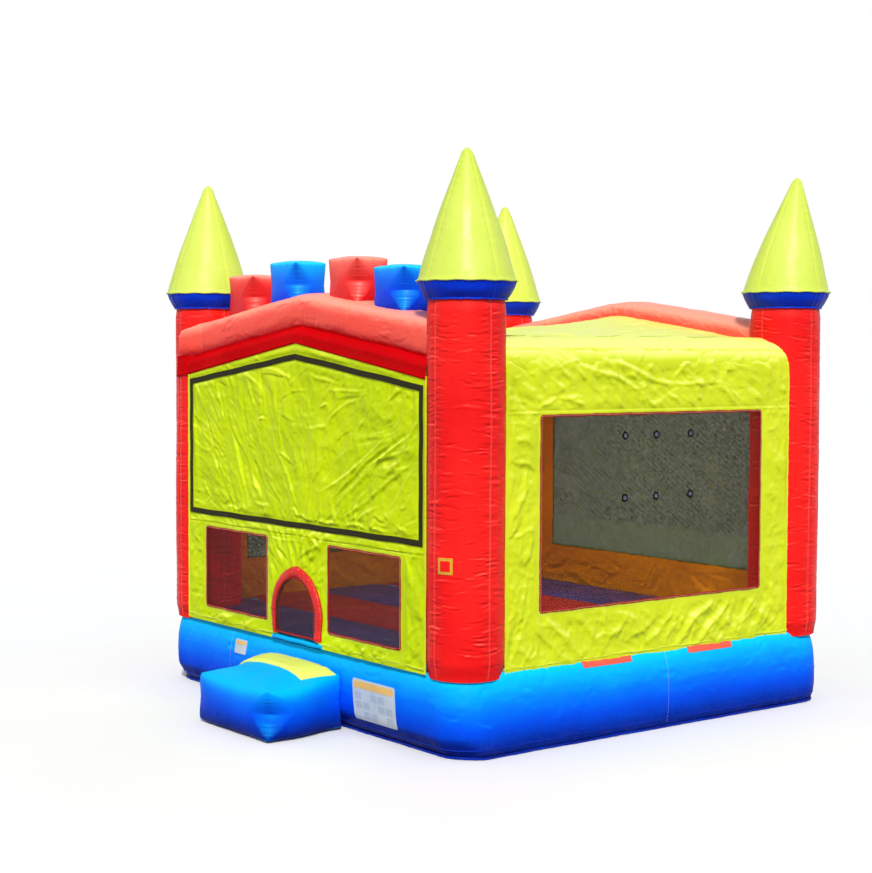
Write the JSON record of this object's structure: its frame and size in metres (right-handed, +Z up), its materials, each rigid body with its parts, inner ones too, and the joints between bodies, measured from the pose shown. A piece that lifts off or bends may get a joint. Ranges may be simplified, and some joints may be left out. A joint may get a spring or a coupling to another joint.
{
  "type": "inflatable bounce house",
  "caption": "Square castle bounce house: striped jump floor, netting windows, corner columns with cone spires, banner frame, entrance step, netting door and rear blower.",
  "frame": {"origin": "on the ground, under the centre of the jump floor", "axes": "+Z up, -Y out of the entrance, +X to the right seen from the entrance"},
  "size_m": [4.122, 5.5993, 4.105],
  "materials": {
    "vinyl_red": "coated vinyl, semi-gloss",
    "vinyl_blue": "coated vinyl, semi-gloss",
    "vinyl_royal": "coated vinyl, semi-gloss",
    "vinyl_lime": "coated vinyl, semi-gloss",
    "vinyl_dark_red": "coated vinyl, semi-gloss",
    "netting": "knotless netting",
    "webbing_black": "woven webbing and hook-and-loop tape",
    "ring_steel": "zinc plated",
    "blower_plastic": "rotomoulded plastic",
    "blower_dark": "moulded plastic"
  },
  "bodies": {
    "castle": {"anchor_strap_left_side": "webbing_black", "anchor_strap_rear_left": "webbing_black", "anchor_strap_rear_right": "webbing_black", "banner_tape_frame": "webbing_black", "base_front": "vinyl_blue", "base_left": "vinyl_blue", "base_rear": "vinyl_blue", "base_right": "vinyl_blue", "battlement_1": "vinyl_red", "battlement_2": "vinyl_blue", "battlement_3": "vinyl_red", "battlement_4": "vinyl_blue", "blower_case_left": "blower_plastic", "blower_case_right": "blower_plastic", "blower_guard": "blower_dark", "blower_handle": "blower_dark", "blower_motor": "blower_dark", "collar_front_left": "vinyl_royal", "collar_front_right": "vinyl_royal", "collar_rear_left": "vinyl_royal", "collar_rear_right": "vinyl_royal", "column_front_left": "vinyl_red", "column_front_right": "vinyl_red", "column_rear_left": "vinyl_red", "column_rear_right": "vinyl_red", "door_trim": "vinyl_dark_red", "eave_left": "vinyl_lime", "eave_right": "vinyl_lime", "foot_patch_front": "vinyl_red", "foot_patch_rear": "vinyl_red", "front_beam": "vinyl_red", "front_left_netting": "netting", "front_right_netting": "netting", "front_valance": "vinyl_dark_red", "front_wall": "vinyl_lime", "inflation_sleeve": "vinyl_blue", "jump_floor": "vinyl_royal", "left_netting": "netting", "left_wall": "vinyl_lime", "rear_beam": "vinyl_red", "rear_netting": "netting", "rear_valance": "vinyl_dark_red", "rear_wall": "vinyl_lime", "right_netting": "netting", "right_wall": "vinyl_lime", "roof_sheet": "vinyl_lime", "spire_front_left": "vinyl_lime", "spire_front_right": "vinyl_lime", "spire_rear_left": "vinyl_lime", "spire_rear_right": "vinyl_lime", "step_block": "vinyl_blue", "step_pad": "vinyl_lime", "zip_tape": "webbing_black"},
    "door_flap": {"door_flap": "netting"},
    "ring_rear_left": {"anchor_ring_rear_left": "ring_steel"},
    "ring_rear_right": {"anchor_ring_rear_right": "ring_steel"},
    "ring_left_side": {"anchor_ring_left_side": "ring_steel"},
    "zip_slider": {"zip_slider": "ring_steel"},
    "blower_wheel": {"blower_wheel": "blower_dark"},
    "blower_switch": {"blower_switch": "blower_dark"}
  },
  "joints": [
    {"name": "door_flap_hinge", "type": "hinge", "parent": "castle", "child": "door_flap", "pos_m": [-0.252, -1.8796, 0.8], "axis": [0, 0, -1], "range_deg": [0, 115]},
    {"name": "ring_rear_left_hinge", "type": "hinge", "parent": "castle", "child": "ring_rear_left", "pos_m": [-1.45, 1.875, 0.13], "axis": [1, 0, 0], "range_deg": [0, 95]},
    {"name": "ring_rear_right_hinge", "type": "hinge", "parent": "castle", "child": "ring_rear_right", "pos_m": [1.45, 1.875, 0.13], "axis": [1, 0, 0], "range_deg": [0, 95]},
    {"name": "ring_left_side_hinge", "type": "hinge", "parent": "castle", "child": "ring_left_side", "pos_m": [-2, 0, 0.13], "axis": [0, 1, 0], "range_deg": [0, 95]},
    {"name": "zip_slide", "type": "slide", "parent": "castle", "child": "zip_slider", "axis": [1, 0, 0], "range_m": [0, 0.53]},
    {"name": "blower_wheel_spin", "type": "hinge", "parent": "castle", "child": "blower_wheel", "pos_m": [-0.9, 2.86, 0.2], "axis": [1, 0, 0], "continuous": true},
    {"name": "blower_switch_rock", "type": "hinge", "parent": "castle", "child": "blower_switch", "pos_m": [-0.7448, 2.985, 0.09], "axis": [0, 1, 0], "range_deg": [-9, 9]}
  ]
}
